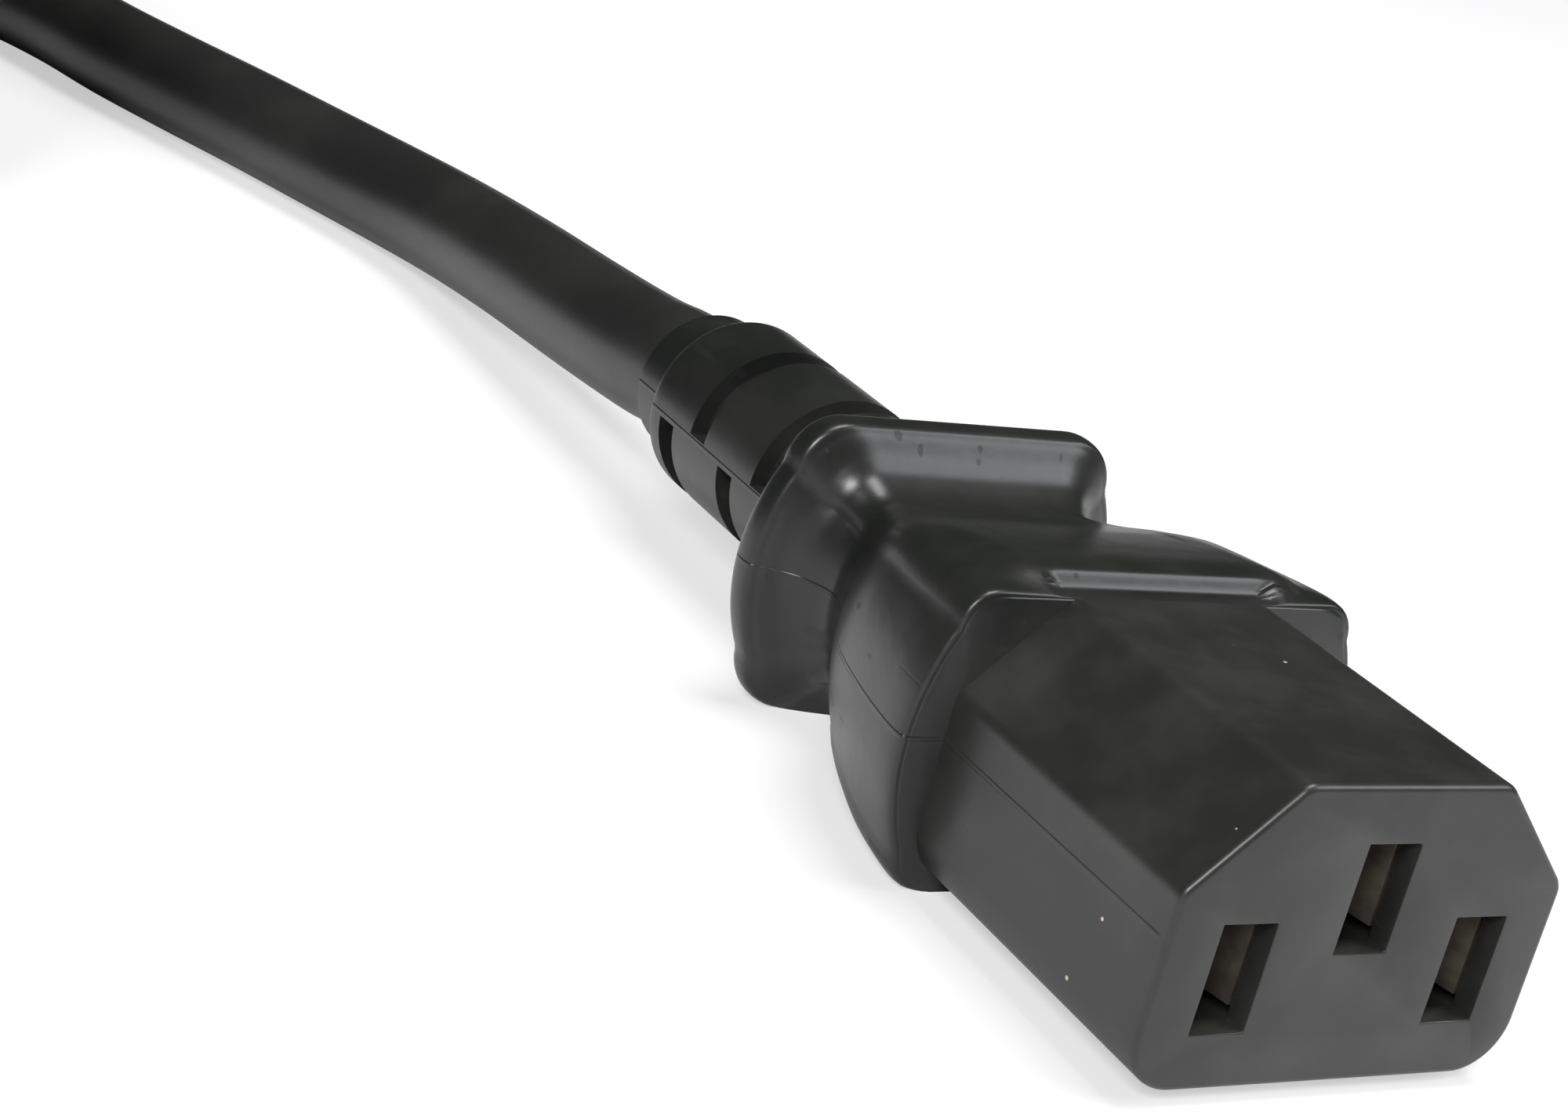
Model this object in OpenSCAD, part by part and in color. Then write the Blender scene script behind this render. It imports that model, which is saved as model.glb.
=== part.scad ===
// Moulded C13 cord connector with its power cord and the inlet-type plug at the far end.
// +Y runs from the mating face towards the cord, +Z is up, the earth contact is the upper one.
// The origin is the centre of the mating face; the underside is grip_base below it.

/* [Nose] */
// Width of the mating nose
nose_w = 23.1; // [22.4:0.1:24]
// Height of the mating nose
nose_h = 15.8; // [15.2:0.1:16]
// Length of the nose in front of the shoulder
nose_len = 19.9; // [18:0.1:22]
// Size of the two keying chamfers beside the earth contact
nose_chamfer = 5.4; // [4.4:0.1:6]
// Radius of the two corners opposite the earth contact
nose_corner_r = 3; // [1.5:0.1:4]
// Radius that softens the ends of the chamfers
chamfer_r = 1.2; // [0.4:0.1:2]
// Bevel round the mating face
face_bevel = 0.35; // [0.1:0.05:0.6]

/* [Contacts] */
// Distance between the line and neutral contacts
contact_pitch = 14; // [13.4:0.1:14.6]
// How far the earth contact stands above the line and neutral contacts
earth_rise = 4; // [3.4:0.1:4.6]
// Width of a contact slot
slot_w = 3.15; // [2.7:0.05:3.4]
// Height of a contact slot
slot_h = 5.75; // [5:0.05:6]
// Wall in front of the contacts
slot_wall = 1.4; // [1:0.1:2]
// Width of a contact, over its two springs
contact_w = 3.9; // [3.6:0.1:4.2]
// Height of a contact's springs
contact_h = 4.6; // [4:0.1:5]
// Sheet thickness of a contact
contact_t = 0.4; // [0.3:0.05:0.5]
// Length of a contact's springs and box
contact_len = 15; // [13:0.1:16]
// Gap between a contact's springs at the throat
throat_gap = 1.6; // [1.2:0.1:1.9]
// Clearance round a contact in its cavity
cavity_gap = 0.35; // [0.2:0.05:0.5]

/* [Grip] */
// Width of the shoulder
shoulder_w = 24.9; // [24.3:0.1:27]
// Height of the shoulder's cheeks above the axis
cheek_h = 8.1; // [8:0.1:9]
// Height of the shoulder's raised middle above the axis
plateau_h = 8.8; // [8.3:0.1:10]
// Half width of the raised middle
plateau_half = 7.9; // [7.3:0.1:9]
// Width of the recess in front of the raised middle
saddle_w = 13.8; // [12:0.1:14.6]
// Depth of that recess behind the shoulder's front
saddle_len = 1.7; // [1:0.1:2.5]
// Distance from the axis down to the underside
grip_base = 8.7; // [8.2:0.1:9.5]
// Corner radius of the shoulder
shoulder_r = 2; // [1.5:0.1:2.4]
// Length from the shoulder's front to the narrowest point of the waist
shoulder_len = 17.2; // [15:0.1:20]
// Width of the waist
waist_w = 15.4; // [15:0.1:18]
// Half height of the waist
waist_half = 5.7; // [5.4:0.1:6.8]
// Width over the finger wings
wing_w = 21.1; // [19:0.1:24]
// Height of the finger wings above the axis
wing_h = 8.7; // [8:0.1:10]
// Length from the waist to the wings' crest
wing_rise = 3.9; // [3:0.1:6]
// Thickness of the wings at their ends
wing_t = 1.3; // [1:0.1:3]
// Corner radius of the wings
wing_r = 3; // [2:0.1:4]

/* [Strain relief] */
// Diameter of the strain relief
relief_d = 12; // [11.4:0.1:14]
// Length of the strain relief behind the wings
relief_len = 24.6; // [22:0.1:32]
// Number of slots on each side
relief_slots = 2; // [1:1:3]
// Distance from one slot to the next on the same side
slot_pitch = 8.2; // [7:0.1:9]
// Width of a slot
relief_gap = 1.9; // [1:0.1:2.4]
// Wall left over the cord inside the slots
relief_wall = 0.8; // [0.5:0.1:1.2]
// Length of the thin sleeve behind the strain relief
sleeve_len = 4; // [2:0.1:8]
// Wall of the thin sleeve
sleeve_wall = 0.7; // [0.5:0.1:1.2]

/* [Cord] */
// Outer diameter of the cord
cord_d = 8.3; // [8:0.1:8.8]
// Outer diameter of an insulated core
core_d = 2.9; // [2.6:0.1:3.1]
// Diameter of a core's bunched strands
strand_d = 1.6; // [1.4:0.1:1.9]
// Radius of the coil's outermost turn, on the cord's middle
coil_r = 46.8; // [45:0.2:49]
// Radius of the coil's innermost turn
coil_inner_r = 36.7; // [35:0.1:39]
// How far to the side of the coil's middle the plug lies on the coil
plug_side = 25.2; // [23:0.1:27]
// Number of layers in the coil
coil_layers = 4; // [3:1:4]
// Width of the ties round the coil
tie_w = 8; // [5:0.5:12]
// Thickness of the ties
tie_t = 0.8; // [0.6:0.1:1.5]

/* [Plug] */
// Clearance between the nose and the plug's shroud
shroud_gap = 0.4; // [0.3:0.05:0.6]
// Wall of the shroud
shroud_wall = 1.8; // [1.4:0.1:2.2]
// Depth of the shroud's cavity
shroud_depth = 17.5; // [16:0.1:19]
// Width of a pin
pin_w = 2; // [1.8:0.1:2.2]
// Height of a pin
pin_h = 4; // [3.6:0.1:4.2]
// Distance from the shroud's mouth back to the line and neutral pins
pin_setback = 2.5; // [1:0.1:4]
// How much further the earth pin reaches
earth_lead = 1; // [0:0.1:1]
// Thickness of the block that carries the pins
carrier_t = 6; // [4:0.1:8]
// Length of the plug's body, from the shroud's mouth to its strain relief
plug_body_len = 44; // [42:0.5:50]

/* [Hidden] */
$fn = 48;

// Places of the three contacts on the mating face: [x, z]
line_at = [-contact_pitch / 2, -earth_rise / 2];
neutral_at = [contact_pitch / 2, -earth_rise / 2];
earth_at = [0, earth_rise / 2];
contacts_at = [line_at, neutral_at, earth_at];
// Angles at which the three cores lie in the cord
core_angles = [210, 330, 90];

// Contact block
tenon_len = 6.5;
tenon_inset = 1.25;
groove_w = 2;
groove_depth = 0.5;
cavity_w = contact_w + 2 * cavity_gap;
cavity_h = slot_h + 2 * cavity_gap;
block_len = nose_len + tenon_len;
cap_t = 2;
cap_lip = 0.8;
cap_rim = 0.6;

// Crimps, measured from the front of a contact
neck_len = 1.5;
strand_crimp_len = 3.6;
crimp_space = 1.2;
core_crimp_len = 2;
contact_front = slot_wall + 0.1;
strand_crimp_y = contact_front + contact_len + neck_len;
core_start_y = strand_crimp_y + strand_crimp_len + crimp_space;

// Grip
shoulder_y = nose_len;
waist_y = shoulder_y + shoulder_len;
crest_y = waist_y + wing_rise;
wing_end_y = crest_y + wing_t;
relief_end_y = wing_end_y + relief_len;
exit_y = relief_end_y + sleeve_len;
neck_y = wing_end_y + 4.4;
front_round = 0.35;
relief_round = 0.9;

// Where the cord's jacket ends inside the connector, and the cores spread
jacket_y = waist_y + 7;
spread_y = block_len + cap_t + 0.6;
bundle_r = core_d / 2 / cos(30) + 0.1;
bundle_y = jacket_y - 1.5;

// Cord
cord_r = cord_d / 2;
floor_z = -grip_base;
cord_sides = 12;
core_sides = 10;
// The cord's route from the connector to the coil, on the axis first and then on the floor
lead_route = [
    [0, 44.1, 0], [0, 58, 0], [0, 71, 0], [0, 74.5, -0.3], [0, 78, -0.8], [0.1, 83, -1.3],
    [0.3, 90, -1.9], [0.6, 100, -2.7], [0.8, 110, -3.6], [0.3, 118, -4.2], [-1.4, 126, -4.5],
    [-3.9, 134, -4.55], [-6.9, 143, -4.55], [-10.2, 152, -4.55], [-13.4, 161, -4.5],
    [-16, 170, -4.4], [-19.2, 177.7, -4.4], [-24.4, 184.9, -4.4], [-31.1, 190.4, -4.3],
    [-39, 194.1, -4.1], [-47.6, 195.9, -3.9]
];
// The coil's middle
coil_at = [-80.2, 148];
coil_base = floor_z + tie_t;
coil_in = coil_inner_r - cord_r;
coil_out = coil_r + cord_r;
coil_h = coil_layers * cord_d;
coil_edge_r = cord_r * 0.8;
tie_angles = [170, 282];

// Plug, in a frame of its own like the connector's
cavity_inner_w = nose_w + 2 * shroud_gap;
cavity_inner_h = nose_h + 2 * shroud_gap;
shroud_w = cavity_inner_w + 2 * shroud_wall;
shroud_h = cavity_inner_h + 2 * shroud_wall;
shroud_len = shroud_depth + carrier_t + 1.5;
carrier_y = shroud_depth;
plug_relief_len = 24;
plug_end_y = plug_body_len + plug_relief_len;
plug_jacket_y = 42.2;
pin_root_len = 4;
pin_barrel_len = 3;
pin_end_y = carrier_y + carrier_t + pin_root_len;
plug_wire_y = pin_end_y + pin_barrel_len + 0.2;
plug_spread_y = plug_wire_y + 1.2;
plug_bundle_y = plug_jacket_y - 1.5;
// The plug lies on the coil, with the end of its strain relief level with the coil's middle
plug_at = [
    coil_at[0] - plug_side, coil_at[1] - plug_end_y,
    coil_base + coil_h + shroud_h / 2
];
// The cord's route from the coil's top layer to the plug
tail_route = [
    [-35.6, 160.3, 29.5], [-41.2, 170.1, 31.5], [-49.8, 178.4, 33.4], [-60.6, 183, 34.8],
    [-72.3, 183.8, 35.3], [-84.6, 180.6, 35.4], [-94.5, 173.8, 35.4], [-101.6, 164.6, 35.4],
    [-105, 154, 35.4], [-105.4, 146, 35.4], [-105.4, 134, 35.4], [-105.4, 122.2, 35.4]
];

// ---------- outlines ----------

// Outline of the nose in the plane of the mating face, grown by g
module nose_outline(g = 0) {
    w = nose_w / 2 + g;
    h = nose_h / 2 + g;
    k = nose_chamfer + g * (2 - sqrt(2));
    hull() {
        for (s = [-1, 1]) {
            translate([s * (w - nose_corner_r - g), -h + nose_corner_r + g])
                circle(r = nose_corner_r + g);
            translate([s * (w - chamfer_r), h - k - chamfer_r * (sqrt(2) - 1)])
                circle(r = chamfer_r);
            translate([s * (w - k - chamfer_r * (sqrt(2) - 1)), h - chamfer_r])
                circle(r = chamfer_r);
        }
    }
}

// Stands a flat outline up so that it runs along +Y from y0 for a length
module along_y(y0, length) {
    translate([0, y0, 0])
        rotate([90, 0, 0])
            mirror([0, 0, 1])
                linear_extrude(length)
                    children();
}

// Round bar along +Y
module rod_y(at, y0, length, r) {
    translate([at[0], y0, at[1]])
        rotate([-90, 0, 0])
            cylinder(h = length, r = r);
}

// Rectangle centred on a contact's place
module contact_rect(at, w, h) {
    translate([at[0] - w / 2, at[1] - h / 2])
        square([w, h]);
}

// ---------- lofted mouldings ----------

// One row of a loft: [y, half width, top, bottom, corner radius, plateau half width, plateau rise]
corner_steps = 6;
function corner_pts(cx, cz, r, a0) =
    [for (i = [0 : corner_steps]) [cx + r * cos(a0 + 90 * i / corner_steps), cz + r * sin(a0 + 90 * i / corner_steps)]];
function section_pts(row) =
    let (a = row[1], t = row[2], b = row[3], r = row[4], c = min(row[5], a - r - 0.05), d = row[6])
    concat(
        corner_pts(a - r, t - d - r, r, 0),
        [[max(c, 0.02), t], [-max(c, 0.02), t]],
        corner_pts(-(a - r), t - d - r, r, 90),
        corner_pts(-(a - r), -(b - r), r, 180),
        corner_pts(a - r, -(b - r), r, 270)
    );

// Smooth rows between the given ones, on a Catmull-Rom curve
function curve_at(p0, p1, p2, p3, u) =
    0.5 * (2 * p1 + u * (p2 - p0) + u * u * (2 * p0 - 5 * p1 + 4 * p2 - p3) + u * u * u * (3 * p1 - p0 - 3 * p2 + p3));
function smooth_rows(rows, steps) =
    let (n = len(rows))
    concat(
        [for (i = [0 : n - 2], k = [0 : steps - 1])
            curve_at(rows[max(i - 1, 0)], rows[i], rows[i + 1], rows[min(i + 2, n - 1)], k / steps)],
        [rows[n - 1]]
    );

// Solid through a list of rings of points, each ring counter-clockwise seen from the start
module ring_solid(rings) {
    m = len(rings[0]);
    n = len(rings);
    polyhedron(
        points = [for (ring = rings, p = ring) p],
        faces = concat(
            [[for (i = [0 : m - 1]) m - 1 - i]],
            [for (k = [0 : n - 2], i = [0 : m - 1]) let (j = (i + 1) % m) [k * m + i, (k + 1) * m + j, (k + 1) * m + i]],
            [for (k = [0 : n - 2], i = [0 : m - 1]) let (j = (i + 1) % m) [k * m + i, k * m + j, (k + 1) * m + j]],
            [[for (i = [0 : m - 1]) (n - 1) * m + i]]
        )
    );
}

module loft(rows, steps) {
    ring_solid([for (row = smooth_rows(rows, steps)) [for (p = section_pts(row)) [p[0], row[0], p[1]]]]);
}

// ---------- cord ----------

function unit(v) = v / norm(v);
function route_dir(route, i) =
    unit(route[min(i + 1, len(route) - 1)] - route[max(i - 1, 0)]);
// Tube along a route that never runs straight up
module route_tube(route, r, sides) {
    ring_solid([
        for (i = [0 : len(route) - 1])
            let (d = route_dir(route, i), side = unit(cross(d, [0, 0, 1])), up = cross(side, d))
            [for (k = [0 : sides - 1]) route[i] + r * (cos(360 * k / sides) * side + sin(360 * k / sides) * up)]
    ]);
}

// ---------- shared inner pieces ----------

// A core's run: straight out of its contact, then a gentle bend to its place in the cord
function core_route(at, angle, y0, y_spread, y_bundle, y_end) =
    let (to = bundle_r * [cos(angle), sin(angle)], ease = [0, 0.1, 0.3, 0.5, 0.7, 0.9, 1])
    concat(
        [[at[0], y0, at[1]]],
        [for (i = [0 : len(ease) - 1])
            let (u = ease[i], k = u * u * (3 - 2 * u))
            [at[0] + k * (to[0] - at[0]), y_spread + u * (y_bundle - y_spread), at[1] + k * (to[1] - at[1])]],
        [[to[0], y_end, to[1]]]
    );

module connector_core(i, r, y0, past = 0) {
    route_tube(core_route(contacts_at[i], core_angles[i], y0, spread_y, bundle_y, jacket_y + past), r, core_sides);
}

module plug_core(i, r, y0, past = 0) {
    route_tube(
        core_route(contacts_at[i], core_angles[i], y0, plug_spread_y, plug_bundle_y, plug_jacket_y + past),
        r, core_sides
    );
}

// Split crimp barrel
module crimp(at, y0, length, r) {
    difference() {
        rod_y(at, y0, length, r + contact_t);
        rod_y(at, y0 - 1, length + 2, r);
        translate([at[0] - 0.15, y0 - 1, at[1] + r / 2])
            cube([0.3, length + 2, r + 1]);
    }
}

// Socket contact: two springs, a box that joins them, a neck and two crimp barrels
module socket_contact(at) {
    half = contact_w / 2;
    throat = throat_gap / 2;
    mouth = half - contact_t;
    throat_y = contact_front + 3.2;
    box_y = contact_front + contact_len - 5;
    end_y = contact_front + contact_len;
    floor_drop = contact_h / 2;
    barrel_drop = strand_d / 2 + contact_t;
    translate([at[0], 0, at[1] - contact_h / 2])
        linear_extrude(contact_h)
            for (s = [0, 1])
                mirror([s, 0])
                    polygon([
                        [mouth, contact_front], [mouth + contact_t, contact_front],
                        [throat + contact_t, throat_y], [half, box_y], [half, end_y],
                        [half - contact_t, end_y], [half - contact_t, box_y + 0.1], [throat, throat_y]
                    ]);
    translate([at[0] - half, box_y + 0.3, at[1] - floor_drop])
        cube([contact_w, end_y - box_y - 0.3, contact_t]);
    translate([at[0] - 0.8, 0, at[1]])
        rotate([90, 0, 90])
            linear_extrude(1.6)
                polygon([
                    [end_y - 0.5, -floor_drop], [end_y, -floor_drop],
                    [strand_crimp_y + 0.1, -barrel_drop], [core_start_y + 0.1, -barrel_drop - 0.3],
                    [core_start_y + 0.1, -barrel_drop - 0.3 + contact_t],
                    [strand_crimp_y + 0.1, -barrel_drop + contact_t * 0.9], [end_y - 0.5, -floor_drop + contact_t]
                ]);
    crimp(at, strand_crimp_y, strand_crimp_len, strand_d / 2);
    crimp(at, core_start_y, core_crimp_len, core_d / 2);
}

// ---------- connector ----------

module overmould() {
    a = shoulder_w / 2;
    w = waist_w / 2;
    g = wing_w / 2;
    k = relief_d / 2;
    fall = a - w;
    drop_t = plateau_h - waist_half;
    drop_b = grip_base - waist_half;
    s = shoulder_len;
    rows = [
        [shoulder_y, a - front_round, cheek_h - front_round, grip_base - front_round, shoulder_r, saddle_w / 2, 0],
        [shoulder_y + front_round, a, cheek_h, grip_base, shoulder_r, saddle_w / 2, 0],
        [shoulder_y + saddle_len + 0.5, a - 0.02 * fall, plateau_h, grip_base, shoulder_r, plateau_half, plateau_h - cheek_h],
        [shoulder_y + 0.33 * s, a - 0.14 * fall, plateau_h - 0.12 * drop_t, grip_base - 0.08 * drop_b, shoulder_r, plateau_half, 0.6],
        [shoulder_y + 0.55 * s, a - 0.32 * fall, plateau_h - 0.36 * drop_t, grip_base - 0.32 * drop_b, shoulder_r, plateau_half, 0.15],
        [shoulder_y + 0.7 * s, a - 0.5 * fall, plateau_h - 0.6 * drop_t, grip_base - 0.56 * drop_b, shoulder_r, plateau_half, 0.05],
        [shoulder_y + 0.86 * s, a - 0.82 * fall, plateau_h - 0.88 * drop_t, grip_base - 0.86 * drop_b, shoulder_r, plateau_half, 0],
        [waist_y, w, waist_half, waist_half, shoulder_r, plateau_half, 0],
        [waist_y + 0.45 * wing_rise, w + 0.15 * (g - w), waist_half + 0.18 * (wing_h - waist_half), waist_half + 0.18 * (grip_base - waist_half), shoulder_r, plateau_half, 0],
        [waist_y + 0.7 * wing_rise, w + 0.45 * (g - w), waist_half + 0.5 * (wing_h - waist_half), waist_half + 0.5 * (grip_base - waist_half), wing_r * 0.9, plateau_half, 0],
        [waist_y + 0.88 * wing_rise, w + 0.82 * (g - w), waist_half + 0.85 * (wing_h - waist_half), waist_half + 0.88 * (grip_base - waist_half), wing_r, plateau_half, 0],
        [crest_y, g, wing_h, grip_base, wing_r, plateau_half, 0],
        [wing_end_y, g, wing_h, grip_base, wing_r, plateau_half, 0],
        [wing_end_y + 0.5, g - 0.5, wing_h - 0.5, grip_base - 0.5, wing_r, plateau_half, 0],
        [wing_end_y + 1.6, k + 0.35 * (g - k), k + 0.35 * (wing_h - k), k + 0.35 * (grip_base - k), wing_r + 1, plateau_half, 0],
        [wing_end_y + 3, k + 0.1 * (g - k), k + 0.08 * (wing_h - k), k + 0.08 * (grip_base - k), k * 0.85, plateau_half, 0],
        [neck_y, k, k, k, k - 0.06, plateau_half, 0]
    ];
    color([0.07, 0.07, 0.075])
        difference() {
            union() {
                loft(rows, 2);
                relief(neck_y - 0.6, relief_end_y, sleeve_len);
            }
            relief_cuts(relief_end_y, neck_y);
            saddle();
            tenon();
            cap_solid();
            for (i = [0 : 2])
                connector_core(i, core_d / 2, block_len);
            rod_y([0, 0], jacket_y, exit_y - jacket_y + 1, cord_r);
        }
}

// Strain relief and its thin sleeve, turned about the cord's axis, up to y1
module relief(y0, y1, sleeve) {
    k = relief_d / 2;
    rotate([-90, 0, 0])
        rotate_extrude()
            polygon(concat(
                [[0, y0], [k, y0]],
                [for (i = [0 : 6]) [k - relief_round + relief_round * cos(15 * i), y1 - relief_round + relief_round * sin(15 * i)]],
                [[cord_r + sleeve_wall, y1], [cord_r + sleeve_wall, y1 + sleeve - 0.3], [cord_r + sleeve_wall - 0.3, y1 + sleeve], [0, y1 + sleeve]]
            ));
}

// Slots that open the strain relief from above and below in turn, down to the wall over the cord
module relief_cuts(y1, y_neck) {
    land = 0.25;
    reach = relief_d / 2 + 1;
    first = 3;
    difference() {
        for (i = [0 : relief_slots - 1], s = [0, 1])
            translate([-reach, y1 - first - i * slot_pitch - (s ? slot_pitch / 2 : 0) - relief_gap / 2, s ? land : -reach])
                cube([2 * reach, relief_gap, reach - land]);
        rod_y([0, 0], y_neck - 5, y1 - y_neck + 10, cord_r + relief_wall);
    }
}

// Recess over the nose in front of the raised middle
module saddle() {
    translate([-saddle_w / 2, shoulder_y - 1, nose_h / 2])
        cube([saddle_w, saddle_len + 1, plateau_h]);
}

// Rear end of the contact block, which the overmould grips
module tenon() {
    difference() {
        along_y(nose_len - 0.01, tenon_len + 0.01)
            nose_outline(-tenon_inset);
        along_y(nose_len + (tenon_len - groove_w) / 2, groove_w)
            difference() {
                square(2 * nose_w, center = true);
                nose_outline(-tenon_inset - groove_depth);
            }
    }
}

module contact_block() {
    color([0.08, 0.08, 0.085])
        difference() {
            union() {
                intersection() {
                    along_y(0, nose_len)
                        nose_outline();
                    face_frustum();
                }
                tenon();
            }
            for (at = contacts_at) {
                along_y(-1, slot_wall + 2)
                    contact_rect(at, slot_w, slot_h);
                along_y(slot_wall, block_len)
                    contact_rect(at, cavity_w, cavity_h);
            }
            cap_recess();
        }
}

// Widens from the bevelled edge of the mating face to the full nose
module face_frustum() {
    big = nose_w;
    hull() {
        along_y(0, 0.01)
            nose_outline(-face_bevel);
        along_y(face_bevel, 0.01)
            nose_outline();
    }
    translate([-big, face_bevel, -big])
        cube([2 * big, nose_len, 2 * big]);
}

// Shallow step in the block's rear that the cap seats in
module cap_recess() {
    along_y(block_len - cap_lip, cap_lip + 1)
        cap_outline();
}

module cap_outline() {
    nose_outline(-tenon_inset - cap_rim);
}

module cap_solid() {
    along_y(block_len - cap_lip, cap_t + cap_lip)
        cap_outline();
}

module cavity_cap() {
    color([0.85, 0.83, 0.78])
        difference() {
            cap_solid();
            for (i = [0 : 2])
                connector_core(i, core_d / 2, block_len - cap_lip - 1);
        }
}

module contact_line() { color([0.8, 0.65, 0.3]) socket_contact(line_at); }
module contact_neutral() { color([0.8, 0.65, 0.3]) socket_contact(neutral_at); }
module contact_earth() { color([0.8, 0.65, 0.3]) socket_contact(earth_at); }

module insulation(i) {
    difference() {
        connector_core(i, core_d / 2, core_start_y);
        connector_core(i, strand_d / 2, core_start_y - 1, past = 1);
    }
}
module core_line() { color([0.35, 0.18, 0.08]) insulation(0); }
module core_neutral() { color([0.1, 0.3, 0.7]) insulation(1); }
module core_earth() { color([0.35, 0.65, 0.15]) insulation(2); }

module strands(i) {
    connector_core(i, strand_d / 2, strand_crimp_y);
}
module strands_line() { color([0.85, 0.45, 0.25]) strands(0); }
module strands_neutral() { color([0.85, 0.45, 0.25]) strands(1); }
module strands_earth() { color([0.85, 0.45, 0.25]) strands(2); }

// ---------- cord ----------

module cord_lead() {
    color([0.06, 0.06, 0.06])
        route_tube(lead_route, cord_r, cord_sides);
}

module cord_tail() {
    color([0.06, 0.06, 0.06])
        route_tube(tail_route, cord_r, cord_sides);
}

// Section of the coil, grown by g
module coil_section(g = 0) {
    r = coil_edge_r + g;
    hull()
        for (x = [coil_in - g + r, coil_out + g - r], z = [r - g, coil_h + g - r])
            translate([x, z])
                circle(r = r);
}

module cord_coil() {
    color([0.06, 0.06, 0.06])
        translate([coil_at[0], coil_at[1], coil_base])
            rotate_extrude($fn = 96)
                coil_section();
}

module coil_tie(angle) {
    turn = 360 * tie_w / (2 * PI * coil_r);
    color([0.12, 0.12, 0.13])
        translate([coil_at[0], coil_at[1], coil_base])
            rotate([0, 0, angle - turn / 2])
                rotate_extrude(angle = turn, $fn = 96)
                    difference() {
                        coil_section(tie_t);
                        coil_section();
                    }
}
module coil_tie_1() { coil_tie(tie_angles[0]); }
module coil_tie_2() { coil_tie(tie_angles[1]); }

// ---------- plug ----------

module plug_place() {
    translate(plug_at)
        children();
}

module plug_shell() {
    w = shroud_w / 2;
    h = shroud_h / 2;
    k = relief_d / 2;
    y0 = shroud_len - 0.6;
    s = plug_body_len - shroud_len;
    rows = [
        [y0, w - 1.6, h - 1.2, h - 1.2, 2.4, 6, 0],
        [y0 + 0.25 * s, w - 2.2, h - 1.4, h - 1.4, 2.4, 6, 0],
        [y0 + 0.6 * s, w - 4.4, h - 1.9, h - 1.9, 3, 6, 0],
        [y0 + 0.85 * s, w - 6, h - 2.6, h - 2.6, 4.5, 6, 0],
        [y0 + 0.95 * s, k + 0.6, k + 0.5, k + 0.5, 5.4, 6, 0],
        [plug_body_len, k, k, k, k - 0.06, 6, 0]
    ];
    color([0.07, 0.07, 0.075])
        plug_place()
            difference() {
                union() {
                    along_y(0, shroud_len)
                        nose_outline(shroud_gap + shroud_wall);
                    loft(rows, 2);
                    relief(plug_body_len - 0.6, plug_end_y, 0);
                }
                along_y(-1, shroud_depth + carrier_t + 1)
                    nose_outline(shroud_gap);
                relief_cuts(plug_end_y, plug_body_len);
                for (i = [0 : 2]) {
                    along_y(carrier_y + carrier_t - 1, pin_root_len + 1)
                        contact_rect(contacts_at[i], pin_w, pin_h);
                    rod_y(contacts_at[i], pin_end_y - 0.01, pin_barrel_len + 0.22, strand_d / 2 + contact_t);
                    plug_core(i, core_d / 2, plug_wire_y);
                }
                rod_y([0, 0], plug_jacket_y, plug_end_y - plug_jacket_y + 1, cord_r);
            }
}

module plug_carrier() {
    color([0.09, 0.09, 0.095])
        plug_place()
            difference() {
                along_y(carrier_y, carrier_t)
                    nose_outline(shroud_gap);
                for (at = contacts_at)
                    along_y(carrier_y - 1, carrier_t + 2)
                        contact_rect(at, pin_w, pin_h);
            }
}

// Flat pin with bevelled tip, and the barrel on its root that holds the strands
module plug_pin(at, tip_y) {
    bevel = 0.7;
    color([0.78, 0.76, 0.7])
        plug_place() {
            intersection() {
                translate([at[0] - pin_w / 2, 0, at[1]])
                    rotate([90, 0, 90])
                        linear_extrude(pin_w)
                            polygon([
                                [tip_y, -pin_h / 2 + bevel], [tip_y + bevel, -pin_h / 2], [pin_end_y, -pin_h / 2],
                                [pin_end_y, pin_h / 2], [tip_y + bevel, pin_h / 2], [tip_y, pin_h / 2 - bevel]
                            ]);
                translate([at[0], 0, at[1] - pin_h / 2])
                    linear_extrude(pin_h)
                        polygon([
                            [-pin_w / 2 + bevel * 0.7, tip_y], [-pin_w / 2, tip_y + bevel], [-pin_w / 2, pin_end_y],
                            [pin_w / 2, pin_end_y], [pin_w / 2, tip_y + bevel], [pin_w / 2 - bevel * 0.7, tip_y]
                        ]);
            }
            difference() {
                rod_y(at, pin_end_y, 3, strand_d / 2 + contact_t);
                rod_y(at, pin_end_y, 4, strand_d / 2);
            }
        }
}
module plug_pin_line() { plug_pin(line_at, pin_setback); }
module plug_pin_neutral() { plug_pin(neutral_at, pin_setback); }
module plug_pin_earth() { plug_pin(earth_at, pin_setback - earth_lead); }

module plug_insulation(i) {
    plug_place()
        difference() {
            plug_core(i, core_d / 2, plug_wire_y);
            plug_core(i, strand_d / 2, plug_wire_y - 1, past = 1);
        }
}
module plug_core_line() { color([0.35, 0.18, 0.08]) plug_insulation(0); }
module plug_core_neutral() { color([0.1, 0.3, 0.7]) plug_insulation(1); }
module plug_core_earth() { color([0.35, 0.65, 0.15]) plug_insulation(2); }

module plug_strands(i) {
    plug_place()
        plug_core(i, strand_d / 2, pin_end_y);
}
module plug_strands_line() { color([0.85, 0.45, 0.25]) plug_strands(0); }
module plug_strands_neutral() { color([0.85, 0.45, 0.25]) plug_strands(1); }
module plug_strands_earth() { color([0.85, 0.45, 0.25]) plug_strands(2); }

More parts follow.
